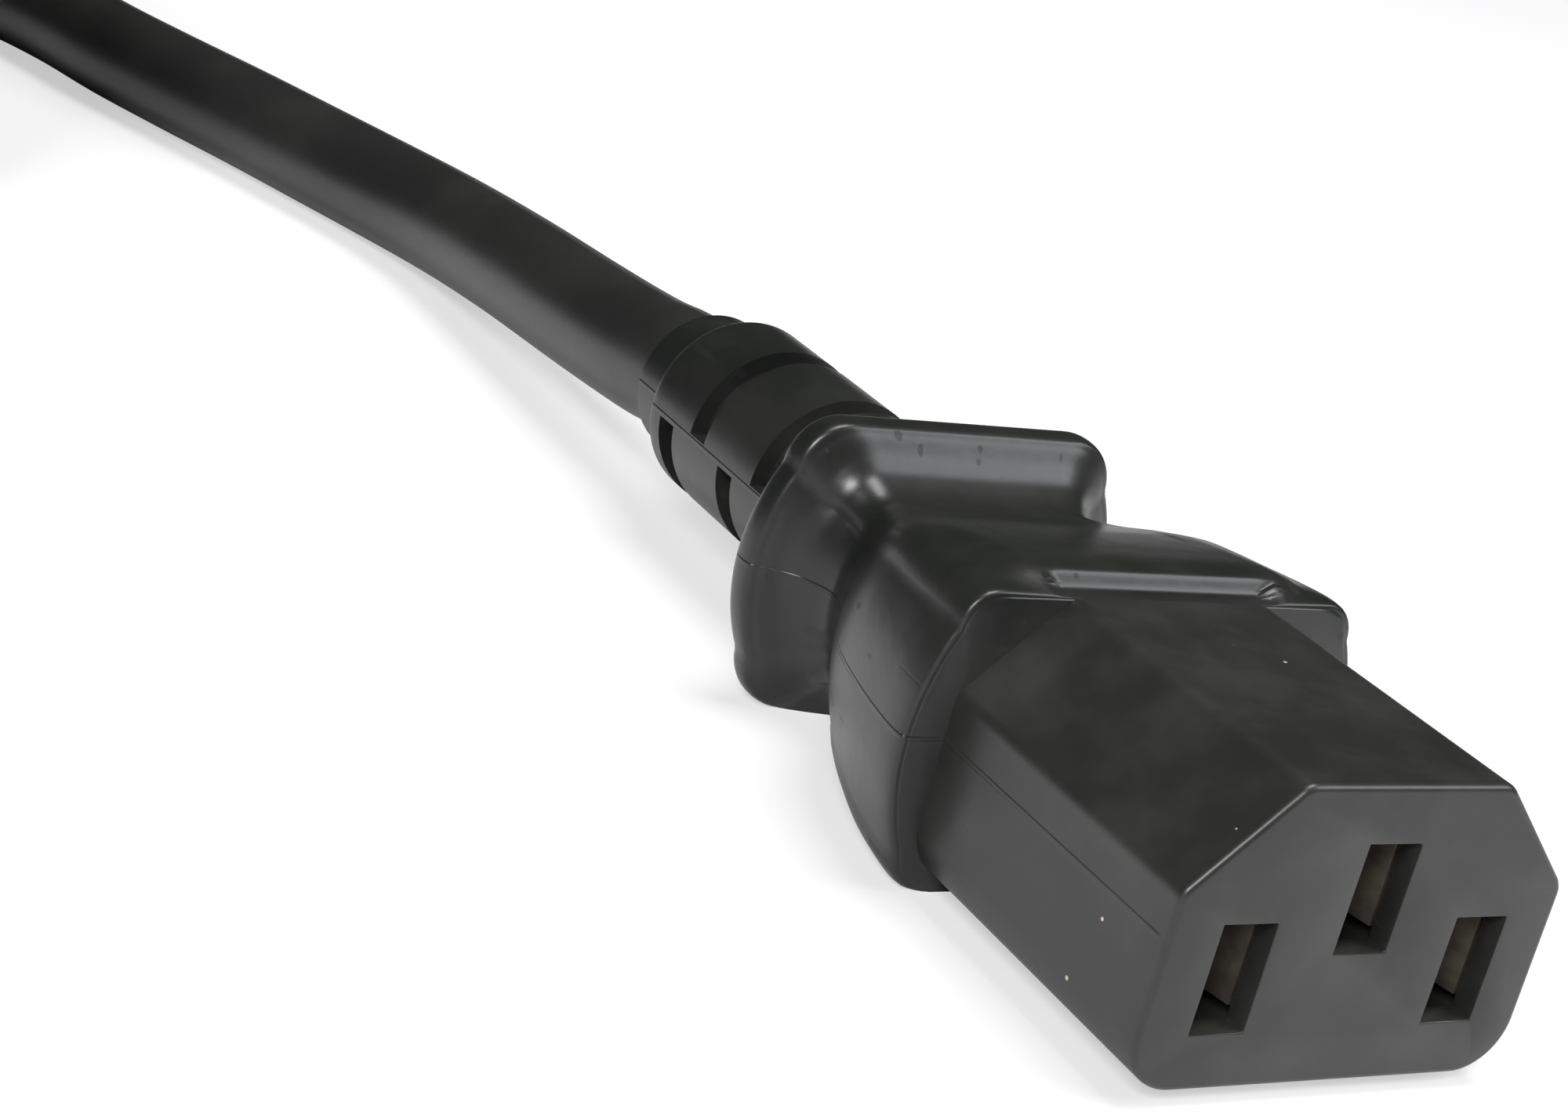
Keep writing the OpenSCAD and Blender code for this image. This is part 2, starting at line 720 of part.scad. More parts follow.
overmould();
contact_block();
cavity_cap();
contact_line();
contact_neutral();
contact_earth();
core_line();
core_neutral();
core_earth();
strands_line();
strands_neutral();
strands_earth();
cord_lead();
cord_coil();
cord_tail();
coil_tie_1();
coil_tie_2();
plug_shell();
plug_carrier();
plug_pin_line();
plug_pin_neutral();
plug_pin_earth();
plug_core_line();
plug_core_neutral();
plug_core_earth();
plug_strands_line();
plug_strands_neutral();
plug_strands_earth();
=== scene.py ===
import math

import bmesh
import bpy
import numpy as np
from mathutils import Matrix, Vector


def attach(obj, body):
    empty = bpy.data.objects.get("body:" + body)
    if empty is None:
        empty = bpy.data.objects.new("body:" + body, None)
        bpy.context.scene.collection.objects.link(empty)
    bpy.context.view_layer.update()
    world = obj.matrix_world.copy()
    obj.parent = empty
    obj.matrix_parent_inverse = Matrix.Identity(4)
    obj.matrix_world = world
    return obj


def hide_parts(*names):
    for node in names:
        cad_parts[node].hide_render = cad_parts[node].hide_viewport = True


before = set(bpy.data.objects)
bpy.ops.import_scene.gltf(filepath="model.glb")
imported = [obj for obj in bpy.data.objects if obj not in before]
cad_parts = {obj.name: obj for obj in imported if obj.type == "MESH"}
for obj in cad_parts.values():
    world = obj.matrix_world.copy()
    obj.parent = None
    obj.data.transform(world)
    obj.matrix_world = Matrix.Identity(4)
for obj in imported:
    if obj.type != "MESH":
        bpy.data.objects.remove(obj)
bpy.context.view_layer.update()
mm = 0.001
print("frame loaded:", len(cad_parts), "nodes")


# ---- small helpers ----

def linkObject(name, data):
    made = bpy.data.objects.new(name, data)
    bpy.context.scene.collection.objects.link(made)
    return made


def smoothPath(points, steps):  # Catmull-Rom through the listed points
    p = np.array(points, float)
    p = np.vstack([2 * p[0] - p[1], p, 2 * p[-1] - p[-2]])
    u = np.arange(steps)[:, None] / steps
    pieces = []
    for i in range(1, len(p) - 2):
        a, b, c, d = p[i - 1], p[i], p[i + 1], p[i + 2]
        square, cube = 2 * a - 5 * b + 4 * c - d, 3 * b - a - 3 * c + d
        pieces.append(0.5 * (2 * b + u * (c - a) + u**2 * square + u**3 * cube))
    return np.vstack(pieces + [p[-2:-1]])


def softStep(x, low, high):  # 0 below low, 1 above high, smooth between
    u = np.clip((np.asarray(x, float) - low) / (high - low), 0, 1)
    return u * u * (3 - 2 * u)


def ringMesh(name, rings, finish):  # one closed skin through rings of points, capped at both ends
    n = len(rings[0])
    faces = []
    for k in range(len(rings) - 1):
        for i in range(n):
            j = (i + 1) % n
            faces.append((k * n + i, k * n + j, (k + 1) * n + j, (k + 1) * n + i))
    faces.append(tuple(reversed(range(n))))
    faces.append(tuple((len(rings) - 1) * n + i for i in range(n)))
    mesh = bpy.data.meshes.new(name)
    mesh.from_pydata(np.vstack(rings).tolist(), [], faces)
    made = linkObject(name, mesh)
    made.data.materials.append(finish)
    tidyNormals(made)
    return made


def tidyNormals(piece):
    b = bmesh.new()
    b.from_mesh(piece.data)
    bmesh.ops.remove_doubles(b, verts=b.verts, dist=1e-7)
    bmesh.ops.recalc_face_normals(b, faces=b.faces)
    b.to_mesh(piece.data)
    b.free()


def applyModifiers(piece):  # turns what the modifiers make into the piece's own mesh
    evaluated = piece.evaluated_get(bpy.context.evaluated_depsgraph_get())
    mesh = bpy.data.meshes.new_from_object(evaluated)
    piece.modifiers.clear()
    piece.data = mesh
    return piece


def smoothShade(piece, angle):
    for face in piece.data.polygons:
        face.use_smooth = True
    piece.data.set_sharp_from_angle(angle=math.radians(angle))


# ---- camera ----

view = {
    "at": (-0.0937467, -0.0892115, 0.0551663),
    "looks": (0.510996, 0.792752, -0.332307),
    "up": (-0.038879, 0.407511, 0.912372),
    "lens": 68.0,
}
camera = linkObject("camera", bpy.data.cameras.new("camera"))
back = -Vector(view["looks"]).normalized()
side = Vector(view["up"]).cross(back).normalized()
camera.matrix_world = Matrix((side, back.cross(side), back)).transposed().to_4x4()
camera.location = view["at"]
camera.data.lens = view["lens"]
camera.data.sensor_width = 36
camera.data.clip_start = 0.005
bpy.context.scene.camera = camera


# ---- shader maths ----

class Signal:  # a shader value; sums on it add Math nodes
    def __init__(self, tree, socket):
        self.tree, self.socket = tree, socket

    def maths(self, operation, *others):
        made = self.tree.nodes.new("ShaderNodeMath")
        made.operation = operation
        for spot, value in zip(made.inputs, (self, *others)):
            plugIn(self.tree, spot, value)
        return Signal(self.tree, made.outputs[0])

    def __add__(self, other):
        return self.maths("ADD", other)

    def __sub__(self, other):
        return self.maths("SUBTRACT", other)

    def __rsub__(self, other):
        return (self * -1) + other

    def __mul__(self, other):
        return self.maths("MULTIPLY", other)

    __radd__ = __add__
    __rmul__ = __mul__

    def size(self):
        return self.maths("ABSOLUTE")

    def below(self, other):
        return self.maths("LESS_THAN", other)

    def between(self, low, high):  # 0 at low, 1 at high, smooth and clamped
        made = self.tree.nodes.new("ShaderNodeMapRange")
        made.interpolation_type = "SMOOTHSTEP"
        for key, value in {"Value": self, "From Min": low, "From Max": high}.items():
            plugIn(self.tree, made.inputs[key], value)
        return Signal(self.tree, made.outputs[0])


def plugIn(tree, spot, value):
    if isinstance(value, Signal):
        tree.links.new(value.socket, spot)
    elif hasattr(spot.default_value, "__len__") and len(spot.default_value) == 4 and len(value) == 3:
        spot.default_value = (*value, 1)
    else:
        spot.default_value = value


class Finish:  # one material and the nodes in it
    def __init__(self, name):
        self.material = bpy.data.materials.new(name)
        self.material.use_nodes = True
        self.tree = self.material.node_tree
        self.tree.nodes.clear()

    def node(self, kind, settings=None, sockets=None, out=0):
        made = self.tree.nodes.new("ShaderNode" + kind)
        for key, value in (settings or {}).items():
            setattr(made, key, value)
        for key, value in (sockets or {}).items():
            plugIn(self.tree, made.inputs[key], value)
        return Signal(self.tree, made.outputs[out])

    def place(self):
        return self.node("TexCoord", out="Object")

    def axes(self):
        split = self.tree.nodes.new("ShaderNodeSeparateXYZ")
        plugIn(self.tree, split.inputs[0], self.place())
        return [Signal(self.tree, spot) for spot in split.outputs]

    def stretched(self, scale, turn=(0, 0, 0)):
        return self.node("Mapping", sockets={"Vector": self.place(), "Scale": scale, "Rotation": turn})

    def grain(self, scale, detail=2, rough=0.5, vector=None):
        return self.node("TexNoise", sockets={
            "Vector": vector or self.place(), "Scale": scale, "Detail": detail, "Roughness": rough,
        })

    def blend(self, factor, first, second):
        # sockets 6 and 7 are the colours to mix, and output 2 is the mixed colour
        return self.node("Mix", {"data_type": "RGBA"}, {0: factor, 6: first, 7: second}, out=2)

    def finish(self, sockets, height=None, bumpDepth=0.0001):
        if height is not None:
            bump = self.node("Bump", sockets={"Height": height, "Distance": bumpDepth, "Strength": 1.0})
            sockets = {**sockets, "Normal": bump}
        surface = self.node("BsdfPrincipled", sockets=sockets)
        end = self.tree.nodes.new("ShaderNodeOutputMaterial")
        plugIn(self.tree, end.inputs["Surface"], surface)
        return self.material


def specks(f, scale, share, radius):  # sparse round specks, such as dust
    cells = f.node("TexVoronoi", sockets={"Vector": f.place(), "Scale": scale}, out="Distance")
    pick = f.node("TexVoronoi", sockets={"Vector": f.place(), "Scale": scale}, out="Color")
    chosen = f.node("SeparateColor", sockets={"Color": pick}).below(share)
    return chosen * (1 - cells.between(radius * 0.6, radius))


# ---- black plastics ----

plastics = {
    "pvc": (0.0085, 0.0095, 0.0085),
    "pvcWorn": (0.017, 0.018, 0.016),
    "nose": (0.013, 0.0135, 0.0125),
    "noseWorn": (0.024, 0.025, 0.022),
    "jacket": (0.010, 0.0105, 0.010),
    "dust": (0.55, 0.47, 0.33),
    "orangePeel": 650,
}


def softPvc():
    f = Finish("softPvc")
    z = f.axes()[2]
    cloud = f.grain(120, 4, 0.6)
    peel = f.grain(plastics["orangePeel"], 2, 0.5)
    fine = f.grain(3200, 2, 0.5)
    seam = 1 - (z.size()).between(0.00004, 0.00016)
    streaks = f.grain(900, 1, 0.5, f.stretched((1, 0.06, 1), (0, 0, 0.5)))
    scratch = streaks.between(0.69, 0.72)
    dust = specks(f, 420, 0.07, 0.07)
    tone = f.blend(cloud.between(0.35, 0.7), plastics["pvc"], plastics["pvcWorn"])
    tone = f.blend(dust, tone, plastics["dust"])
    rough = 0.26 + cloud * 0.1 + fine * 0.05 + scratch * 0.12
    height = peel * 0.35 + fine * 0.05 + seam * 0.6 + scratch * -0.08
    return f.finish({"Base Color": tone, "Roughness": rough, "Specular IOR Level": 0.5}, height, 0.00006)


def hardPlastic():
    f = Finish("hardPlastic")
    y, z = f.axes()[1:]
    cloud = f.grain(150, 4, 0.6)
    bands = f.grain(420, 3, 0.6, f.stretched((1, 0.05, 1)))
    fine = f.grain(2600, 2, 0.5)
    seam = 1 - (z.size()).between(0.00005, 0.00018)
    flank = y.between(0.0004, 0.001)
    dust = specks(f, 520, 0.10, 0.075)
    grit = specks(f, 900, 0.05, 0.08)
    tone = f.blend(cloud.between(0.35, 0.7), plastics["nose"], plastics["noseWorn"])
    tone = f.blend(dust, tone, plastics["dust"])
    tone = f.blend(grit, tone, (0.4, 0.4, 0.4))
    rough = 0.30 + cloud * 0.1 + bands * 0.12 * flank
    height = bands * 0.25 * flank + fine * 0.07 + seam * 0.6 * flank
    return f.finish({"Base Color": tone, "Roughness": rough, "Specular IOR Level": 0.5}, height, 0.00006)


def cordJacket():
    f = Finish("cordJacket")
    cloud = f.grain(70, 3, 0.6)
    fine = f.grain(2400, 2, 0.5)
    dust = specks(f, 260, 0.05, 0.05)
    tone = f.blend(cloud.between(0.35, 0.7), plastics["jacket"], plastics["pvcWorn"])
    tone = f.blend(dust, tone, plastics["dust"])
    rough = 0.33 + cloud * 0.1 + fine * 0.04
    return f.finish({"Base Color": tone, "Roughness": rough}, cloud * 0.5 + fine * 0.1, 0.00008)


def plainPlastic(name, colour, worn, rough=0.45):
    f = Finish(name)
    cloud = f.grain(900, 3, 0.6)
    tone = f.blend(cloud.between(0.3, 0.75), colour, worn)
    return f.finish({"Base Color": tone, "Roughness": rough + cloud * 0.12}, cloud, 0.00003)


def sheetMetal(name, colour, tarnish, rough):  # streaked along y, as drawn sheet is
    f = Finish(name)
    lines = f.grain(2600, 2, 0.5, f.stretched((1, 0.06, 1)))
    cloud = f.grain(500, 3, 0.6)
    tone = f.blend(cloud.between(0.4, 0.75), colour, tarnish)
    rough = rough + lines * 0.15 + cloud * 0.08
    return f.finish({"Base Color": tone, "Metallic": 1.0, "Roughness": rough}, lines, 0.00001)


def coreInsulation(name, colour, stripe=None):
    f = Finish(name)
    x = f.axes()[0]
    cloud = f.grain(900, 2, 0.5)
    tone = f.blend(cloud.between(0.3, 0.8), colour, tuple(c * 0.8 for c in colour))
    if stripe:  # earth cores carry a yellow stripe along their green
        tone = f.blend((x * 2400).maths("SINE").between(-0.1, 0.1), tone, stripe)
    return f.finish({"Base Color": tone, "Roughness": 0.4 + cloud * 0.1}, cloud, 0.00002)


finishes = {
    "softPvc": softPvc(),
    "hardPlastic": hardPlastic(),
    "cordJacket": cordJacket(),
    "capPlastic": plainPlastic("capPlastic", (0.62, 0.6, 0.54), (0.5, 0.48, 0.42)),
    "tieNylon": plainPlastic("tieNylon", (0.02, 0.02, 0.022), (0.035, 0.035, 0.035), 0.5),
    "contactBrass": sheetMetal("contactBrass", (0.34, 0.31, 0.25), (0.2, 0.18, 0.15), 0.35),
    "pinNickel": sheetMetal("pinNickel", (0.72, 0.7, 0.66), (0.6, 0.58, 0.52), 0.16),
    "copperStrands": sheetMetal("copperStrands", (0.78, 0.42, 0.26), (0.6, 0.3, 0.16), 0.28),
    "coreBrown": coreInsulation("coreBrown", (0.16, 0.07, 0.03)),
    "coreBlue": coreInsulation("coreBlue", (0.04, 0.13, 0.42)),
    "coreGreenYellow": coreInsulation("coreGreenYellow", (0.07, 0.32, 0.06), (0.75, 0.62, 0.05)),
}
print("finishes made:", len(finishes))


# ---- cord ----

cord = {
    "radius": 4.15 * mm,
    "length": 1.8,
    "exit": (0, 0.0709, 0),
    "lead": [  # from inside the sleeve to the coil, on the axis and then on the floor
        (0, 66, 0), (0, 71, 0), (0, 74.5, -0.3), (0, 78, -0.8), (0.1, 83, -1.3), (0.3, 90, -1.9), (0.6, 100, -2.7),
        (0.8, 110, -3.6), (0.3, 118, -4.2), (-1.4, 126, -4.5), (-3.9, 134, -4.55), (-6.9, 143, -4.55),
        (-10.2, 152, -4.55), (-13.4, 161, -4.5), (-16, 170, -4.4), (-19.2, 177.7, -4.4), (-24.4, 184.9, -4.4),
        (-31.1, 190.4, -4.3), (-39, 194.1, -4.1), (-47.6, 195.9, -3.9), (-64, 196, -3.8),
    ],
    "coilAt": (-80.2, 148),
    "outerTurn": 46.8,
    "innerTurn": 36.7,
    "pitch": 8.3,
    "layers": 4,
    "layerTurns": 1.2125,
    "climb": 0.3,
    "turns": 5.75,
    "coilPoints": 116,
    "smoothing": 5,
    "baseZ": -3.75,
    "liftTurn": 5.556,
    "liftLength": 126,
    "plugZ": 35.4,
    "tail": [  # from the coil's top layer over to the plug, which lies on the coil
        (-35.6, 160.3, 29.5), (-41.2, 170.1, 31.5), (-49.8, 178.4, 33.4), (-60.6, 183, 34.8),
        (-72.3, 183.8, 35.3), (-84.6, 180.6, 35.4), (-94.5, 173.8, 35.4), (-101.6, 164.6, 35.4),
        (-105, 154, 35.4), (-105.4, 146, 35.4), (-105.4, 134, 35.4), (-105.4, 122.2, 35.4),
    ],
}


def coilPoint(turn):  # each layer winds in or out, then the cord climbs to the next one
    stage = cord["layerTurns"] + cord["climb"]
    layer = min(int(turn / stage), cord["layers"] - 1)
    within = turn - layer * stage
    near, far = cord["outerTurn"], cord["innerTurn"]
    if layer % 2:
        near, far = far, near
    radius = near + (far - near) * min(within / cord["layerTurns"], 1)
    z = cord["baseZ"] + cord["pitch"] * (layer + float(softStep(within, cord["layerTurns"], stage)))
    lift = (turn - cord["liftTurn"]) * 2 * math.pi * cord["outerTurn"]
    if lift > 0:
        z += (cord["plugZ"] - z) * float(softStep(lift, 0, cord["liftLength"]))
    angle = 2 * math.pi * (turn + 0.25)
    x, y = cord["coilAt"]
    return (x + radius * math.cos(angle), y + radius * math.sin(angle), z)


def cordPath():
    coil = [coilPoint(t) for t in np.linspace(0.02, cord["turns"], cord["coilPoints"])]
    return smoothPath(cord["lead"] + coil + cord["tail"], cord["smoothing"]) * mm


def makeCord():
    points = cordPath()
    curve = bpy.data.curves.new("powerCord", "CURVE")
    curve.dimensions = "3D"
    curve.bevel_depth = cord["radius"]
    curve.bevel_resolution = 8
    curve.use_fill_caps = True
    spline = curve.splines.new("POLY")
    spline.points.add(len(points) - 1)
    for spot, p in zip(spline.points, points):
        spot.co = (*p, 1)
    made = linkObject("powerCord", curve)
    curve.materials.append(finishes["cordJacket"])
    made.data.splines[0].use_smooth = True
    return made, points


powerCord, cordPoints = makeCord()
print("cord length:", round(float(np.linalg.norm(np.diff(cordPoints, axis=0), axis=1).sum()), 3))


# ---- overmould: shoulder, waist, wings, strain relief and sleeve in one skin ----

overmould = {
    "front": 19.9,
    "shoulderHalf": 12.45, "cheek": 8.1, "plateau": 8.8, "plateauHalf": 7.9,
    "base": 8.7, "corner": 2.0, "shoulderLength": 17.2,
    "waistHalf": 7.7, "waistHeight": 5.7,
    "wingHalf": 10.55, "wingTop": 8.7, "wingRise": 3.9, "wingThickness": 1.3, "wingCorner": 3.0,
    "recessHalf": 6.9, "recessLength": 1.7, "recessFloor": 7.9,
    "reliefRadius": 6.0, "reliefEnd": 66.9, "sleeveRadius": 4.85, "sleeveEnd": 70.9,
    "slotWidth": 1.9, "slotPitch": 8.2, "slotFirst": 3.0, "slotWall": 4.95, "slotLand": 0.25,
}


def overmouldRows():  # y, half width, top, base, corner, plateau half, plateau rise
    o = overmould
    a, w, g, k = o["shoulderHalf"], o["waistHalf"], o["wingHalf"], o["reliefRadius"]
    y0, s, rise = o["front"], o["shoulderLength"], o["wingRise"]
    fall, dropT, dropB = a - w, o["plateau"] - o["waistHeight"], o["base"] - o["waistHeight"]
    waist, top, base, low = y0 + s, o["wingTop"], o["base"], o["waistHeight"]
    end = waist + rise + o["wingThickness"]
    c, q, half, wc = o["corner"], o["recessHalf"], o["plateauHalf"], o["wingCorner"]
    return np.array([
        [y0, a - 0.35, o["cheek"] - 0.35, base - 0.35, c, q, 0],
        [y0 + 0.35, a, o["cheek"], base, c, q, 0],
        [y0 + o["recessLength"] + 0.5, a - 0.02 * fall, o["plateau"], base, c, half, o["plateau"] - o["cheek"]],
        [y0 + 0.33 * s, a - 0.14 * fall, o["plateau"] - 0.12 * dropT, base - 0.08 * dropB, c, half, 0.6],
        [y0 + 0.55 * s, a - 0.32 * fall, o["plateau"] - 0.36 * dropT, base - 0.32 * dropB, c, half, 0.15],
        [y0 + 0.7 * s, a - 0.5 * fall, o["plateau"] - 0.6 * dropT, base - 0.56 * dropB, c, half, 0.05],
        [y0 + 0.86 * s, a - 0.82 * fall, o["plateau"] - 0.88 * dropT, base - 0.86 * dropB, c, half, 0],
        [waist, w, low, low, c, half, 0],
        [waist + 0.45 * rise, w + 0.15 * (g - w), low + 0.18 * (top - low), low + 0.18 * (base - low), c, half, 0],
        [waist + 0.7 * rise, w + 0.45 * (g - w), low + 0.5 * (top - low), low + 0.5 * (base - low), wc * 0.9, half, 0],
        [waist + 0.88 * rise, w + 0.82 * (g - w), low + 0.85 * (top - low), low + 0.88 * (base - low), wc, half, 0],
        [waist + rise, g, top, base, wc, half, 0],
        [end, g, top, base, wc, half, 0],
        [end + 0.5, g - 0.5, top - 0.5, base - 0.5, wc, half, 0],
        [end + 1.6, k + 0.35 * (g - k), k + 0.35 * (top - k), k + 0.35 * (base - k), wc + 1, half, 0],
        [end + 3, k + 0.1 * (g - k), k + 0.08 * (top - k), k + 0.08 * (base - k), k * 0.85, half, 0],
        [end + 4.4, k, k, k, k - 0.06, half, 0],
    ])


def outlinePolar(outline, angles):  # distance from the axis to an outline, at each angle
    outline = np.array(outline)
    around = np.arctan2(outline[:, 1], outline[:, 0])
    order = np.argsort(around)
    around, reach = around[order], np.hypot(outline[:, 0], outline[:, 1])[order]
    around = np.concatenate([around - 2 * math.pi, around, around + 2 * math.pi])
    return np.interp(angles, around, np.tile(reach, 3))


def cornerArc(cx, cz, r, start, count=24):
    turn = start + np.linspace(0, math.pi / 2, count)
    return [(cx + r * math.cos(t), cz + r * math.sin(t)) for t in turn]


def gripOutline(row):
    o = overmould
    y, a, t, b, r, half, d = row
    c = max(min(half, a - r - 0.05), 0.02)
    top = []
    for x in np.linspace(a - r, -(a - r), 160):
        z = t - d * float(softStep(abs(x), c - 0.25, a - r + 0.25))
        inRecess = 1 - float(softStep(abs(x), o["recessHalf"] - 0.12, o["recessHalf"] + 0.12))
        climbed = float(softStep(y, o["front"] + 1.05, o["front"] + o["recessLength"] + 0.05))
        floorHere = o["recessFloor"] + (z - o["recessFloor"]) * climbed
        z = min(z, z + (floorHere - z) * inRecess)
        top.append((x, z))
    return (
        cornerArc(a - r, t - d - r, r, 0) + top + cornerArc(-(a - r), t - d - r, r, math.pi / 2)
        + cornerArc(-(a - r), -(b - r), r, math.pi) + cornerArc(a - r, -(b - r), r, 1.5 * math.pi)
    )


def skinAngles(count=224):
    o = overmould
    base = np.linspace(-math.pi, math.pi, count, endpoint=False)
    land = math.asin(o["slotLand"] / o["reliefRadius"])
    edges = [s * land + e + p for s in (-1, 1) for e in (-0.004, 0.004) for p in (0, math.pi)]
    edges = [math.atan2(math.sin(e), math.cos(e)) for e in edges]
    kept = [a for a in base if min(abs(a - e) for e in edges) > 0.012]
    return np.array(sorted(kept + edges))


def reliefReach(y, angles, first, end, radius, count=2):  # strain relief with its staggered half-ring slots
    o = overmould
    reach = np.full(len(angles), radius)
    for i in range(count):
        for s in (0, 1):
            middle = end - first - i * o["slotPitch"] - s * o["slotPitch"] / 2
            if abs(y - middle) < o["slotWidth"] / 2:
                z = radius * np.sin(angles)
                isOpen = z > o["slotLand"] if s else z < -o["slotLand"]
                reach = np.where(isOpen, o["slotWall"], reach)
    return reach


def stationList(start, end, edges, coarse=0.5):
    stations = list(np.arange(start, end, coarse))
    for e in edges:
        stations = [y for y in stations if abs(y - e) > 0.06] + [e - 0.012, e + 0.012]
    return sorted(stations)


def makeOvermould():
    o = overmould
    angles = skinAngles()
    rows = smoothPath(overmouldRows(), 12)
    rings = []

    def ring(y, reach):
        rings.append(np.column_stack([reach * np.cos(angles), np.full(len(angles), y), reach * np.sin(angles)]))

    dense = list(rows)
    recess = [r for r in rows if o["front"] + 0.3 < r[0] < o["front"] + 2.4]
    for first, second in zip(recess[:-1], recess[1:]):
        dense.append((first + second) / 2)
    for row in sorted(dense, key=lambda r: r[0]):
        ring(row[0], outlinePolar(gripOutline(row), angles))
    neck = rows[-1][0]
    slotEdges = []
    for i in range(4):
        middle = o["reliefEnd"] - o["slotFirst"] - i * o["slotPitch"] / 2
        slotEdges += [middle - o["slotWidth"] / 2, middle + o["slotWidth"] / 2]
    for y in stationList(neck + 0.3, o["reliefEnd"] - 0.95, slotEdges):
        ring(y, reliefReach(y, angles, o["slotFirst"], o["reliefEnd"], o["reliefRadius"]))
    for t in np.linspace(0, math.pi / 2, 8):
        rounded = o["reliefRadius"] - 0.9 * (1 - math.cos(t))
        ring(o["reliefEnd"] - 0.9 * (1 - math.sin(t)), np.full(len(angles), rounded))
    ring(o["reliefEnd"] + 0.01, np.full(len(angles), o["sleeveRadius"] + 0.05))
    ring(o["reliefEnd"] + 0.06, np.full(len(angles), o["sleeveRadius"]))
    ring(o["sleeveEnd"] - 0.3, np.full(len(angles), o["sleeveRadius"]))
    ring(o["sleeveEnd"], np.full(len(angles), o["sleeveRadius"] - 0.3))
    ring(o["sleeveEnd"], np.full(len(angles), 4.0))
    made = ringMesh("overmouldSkin", [r * mm for r in rings], finishes["softPvc"])
    smoothShade(made, 38)
    return made


overmouldSkin = makeOvermould()
print("overmould:", len(overmouldSkin.data.polygons), "faces")


# ---- nose: the pre-moulded contact block ----

nose = {
    "half": 11.55, "height": 7.9, "chamfer": 5.4, "corner": 3.0, "chamferRound": 1.2,
    "bevel": 0.35, "end": 20.3,
    "slots": [(-7, -2), (7, -2), (0, 2)],
    "slotSize": (3.15, 5.75), "slotWall": 1.4, "cavity": (4.6, 6.45), "cavityEnd": 18.5,
}


def roundedCorner(points, radii, steps=14):  # polygon with each corner turned on its own radius
    out = []
    n = len(points)
    for i in range(n):
        p, a, b = (Vector(points[k % n]) for k in (i, i - 1, i + 1))
        u, v = (a - p).normalized(), (b - p).normalized()
        half = u.angle(v) / 2
        r = radii[i]
        start = p + u * (r / math.tan(half))
        end = p + v * (r / math.tan(half))
        middle = p + (u + v).normalized() * (r / math.sin(half))
        t0, t1 = (start - middle), (end - middle)
        total = t0.angle_signed(t1)
        for k in range(steps + 1):
            turned = t0.copy()
            turned.rotate(Matrix.Rotation(-total * k / steps, 2))
            out.append(tuple(middle + turned))
    return out


def noseOutline(grow=0):
    n = nose
    w, h = n["half"] + grow, n["height"] + grow
    k = n["chamfer"] + grow * (2 - math.sqrt(2))
    corners = [(w, -h), (w, h - k), (w - k, h), (-(w - k), h), (-w, h - k), (-w, -h)]
    lower = n["corner"] + grow
    return roundedCorner(corners, [lower] + [n["chamferRound"]] * 4 + [lower])


def blockBox(name, at, size, y0, y1):
    w, h = size[0] / 2, size[1] / 2
    signs = ((-1, -1), (1, -1), (1, 1), (-1, 1))
    corners = [(at[0] + sx * w, y, at[1] + sz * h) for y in (y0, y1) for sx, sz in signs]
    mesh = bpy.data.meshes.new(name)
    mesh.from_pydata([tuple(c * mm for c in p) for p in corners], [],
                     [(0, 1, 2, 3), (7, 6, 5, 4), (0, 4, 5, 1), (1, 5, 6, 2), (2, 6, 7, 3), (3, 7, 4, 0)])
    made = linkObject(name, mesh)
    tidyNormals(made)
    return made


def makeNose():
    n = nose
    rings = []
    for t in np.linspace(0, math.pi / 2, 5):
        grow, y = -n["bevel"] * (1 - math.sin(t)), n["bevel"] * (1 - math.cos(t))
        rings.append([(x, y, z) for x, z in noseOutline(grow)])
    for y in (1.0, 6, 11, 16, n["end"]):
        rings.append([(x, y, z) for x, z in noseOutline()])
    made = ringMesh("noseBlock", [np.array(r) * mm for r in rings], finishes["hardPlastic"])
    cutters = []
    for i, at in enumerate(n["slots"]):
        cutters.append(blockBox(f"slotCut{i}", at, n["slotSize"], -1, n["slotWall"] + 0.2))
        cutters.append(blockBox(f"cavityCut{i}", at, n["cavity"], n["slotWall"], n["cavityEnd"]))
    for cutter in cutters:
        cut = made.modifiers.new(cutter.name, "BOOLEAN")
        cut.operation, cut.solver, cut.object = "DIFFERENCE", "EXACT", cutter
        applyModifiers(made)
    edge = made.modifiers.new("softEdges", "BEVEL")
    edge.width, edge.segments = 0.09 * mm, 2
    edge.limit_method, edge.angle_limit = "ANGLE", math.radians(60)
    applyModifiers(made)
    for cutter in cutters:
        bpy.data.objects.remove(cutter)
    smoothShade(made, 32)
    return made


noseBlock = makeNose()
print("nose:", len(noseBlock.data.polygons), "faces")


# ---- the remaining CAD nodes keep their shape and get their finish ----

nodeFinish = {
    "cavity_cap": "capPlastic", "plug_carrier": "hardPlastic", "plug_shell": "softPvc",
    "coil_tie_1": "tieNylon", "coil_tie_2": "tieNylon",
}
for name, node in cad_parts.items():
    key = nodeFinish.get(name)
    if "strands" in name:
        key = "copperStrands"
    elif name.startswith("plug_pin"):
        key = "pinNickel"
    elif name in ("contact_line", "contact_neutral", "contact_earth"):
        key = "contactBrass"
    elif "core_" in name:
        key = {"line": "coreBrown", "neutral": "coreBlue", "earth": "coreGreenYellow"}[name.split("_")[-1]]
    if key:
        node.data.materials.clear()
        node.data.materials.append(finishes[key])


# ---- floor and light ----

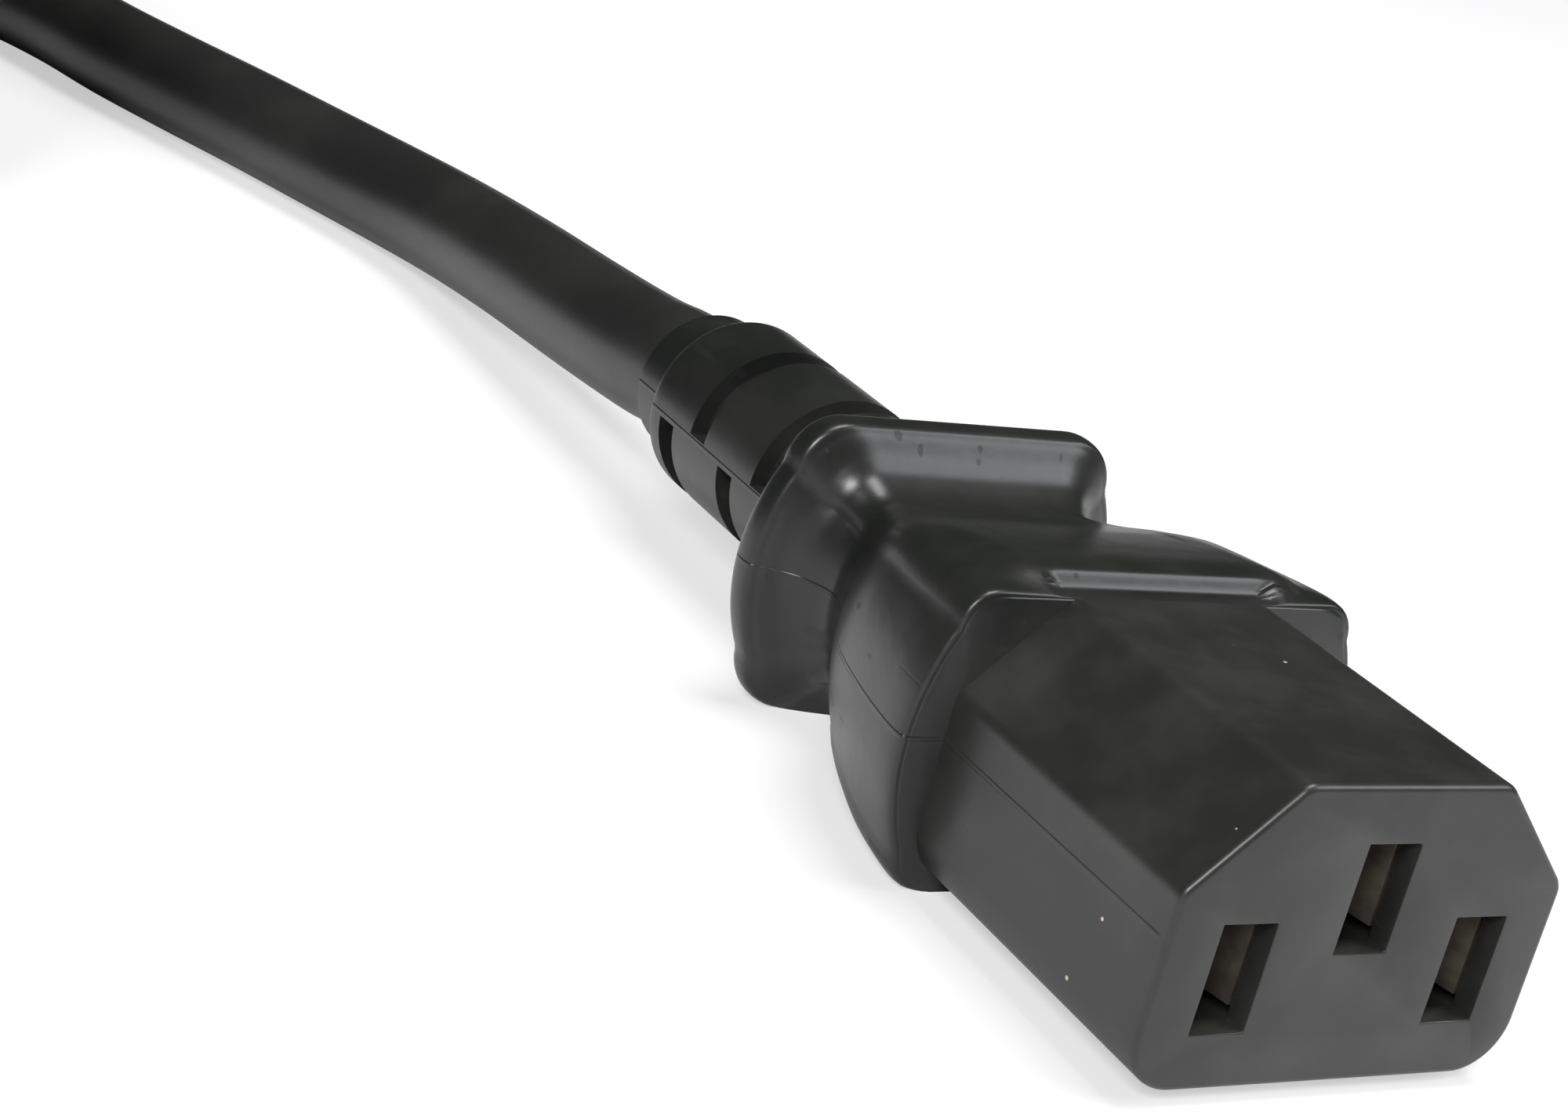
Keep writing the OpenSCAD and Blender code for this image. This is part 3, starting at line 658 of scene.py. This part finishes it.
stage = {"floor": -0.0087, "size": 4.0, "paper": (0.86, 0.85, 0.87), "white": 1.0, "lift": 0.55}


def makeFloor():
    half, z = stage["size"] / 2, stage["floor"]
    corners = [(-half, -half, z), (half, -half, z), (half, half, z), (-half, half, z)]
    mesh = bpy.data.meshes.new("floor")
    mesh.from_pydata(corners, [], [(0, 1, 2, 3)])
    made = linkObject("floor", mesh)
    f = Finish("whitePaper")
    rays = f.tree.nodes.new("ShaderNodeLightPath")
    seen = Signal(f.tree, rays.outputs["Is Camera Ray"])
    paper = f.node("BsdfDiffuse", sockets={"Color": stage["paper"]})
    glow = f.node("Emission", sockets={"Color": (1, 1, 1), "Strength": stage["white"]})
    mixed = f.node("MixShader", sockets={0: seen * stage["lift"], 1: paper, 2: glow})
    end = f.tree.nodes.new("ShaderNodeOutputMaterial")
    plugIn(f.tree, end.inputs["Surface"], mixed)
    mesh.materials.append(f.material)


def areaLamp(name, at, towards, size, power, colour=(1, 1, 1)):
    lamp = bpy.data.lights.new(name, "AREA")
    lamp.shape, lamp.size, lamp.size_y = "RECTANGLE", size[0], size[1]
    lamp.energy, lamp.color = power, colour
    made = linkObject(name, lamp)
    made.location = at
    made.rotation_euler = (Vector(towards) - Vector(at)).to_track_quat("-Z", "Y").to_euler()


def makeWorld():
    world = bpy.data.worlds.new("room")
    bpy.context.scene.world = world
    world.use_nodes = True
    tree = world.node_tree
    tree.nodes.clear()
    rays = tree.nodes.new("ShaderNodeLightPath")
    room = tree.nodes.new("ShaderNodeBackground")
    room.inputs["Color"].default_value = (0.30, 0.33, 0.28, 1)
    room.inputs["Strength"].default_value = 0.16
    pale = tree.nodes.new("ShaderNodeBackground")
    pale.inputs["Color"].default_value = (1, 1, 1, 1)
    pale.inputs["Strength"].default_value = 1.0
    mixed = tree.nodes.new("ShaderNodeMixShader")
    end = tree.nodes.new("ShaderNodeOutputWorld")
    tree.links.new(rays.outputs["Is Camera Ray"], mixed.inputs[0])
    tree.links.new(room.outputs[0], mixed.inputs[1])
    tree.links.new(pale.outputs[0], mixed.inputs[2])
    tree.links.new(mixed.outputs[0], end.inputs[0])


makeFloor()
makeWorld()
areaLamp("keyLamp", (-0.9, -0.8, 0.9), (0, 0.03, 0), (0.5, 0.5), 22, (1.0, 0.985, 1.0))
areaLamp("fillLamp", (0.9, -0.6, 0.9), (0, 0.03, 0), (0.7, 0.7), 9, (0.95, 0.96, 1.0))
areaLamp("topLamp", (0.1, 0.0, 1.1), (0, 0.03, 0), (0.5, 0.5), 9)
bpy.context.scene.view_settings.view_transform = "Standard"


# ---- how the pieces go together ----

for piece, nodes, slotName in (
    (overmouldSkin, ["overmould"], "pvc"),
    (noseBlock, ["contact_block"], "hard_plastic"),
    (powerCord, ["cord_lead", "cord_coil", "cord_tail"], "jacket"),
):
    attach(piece, "root")
    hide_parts(*nodes)
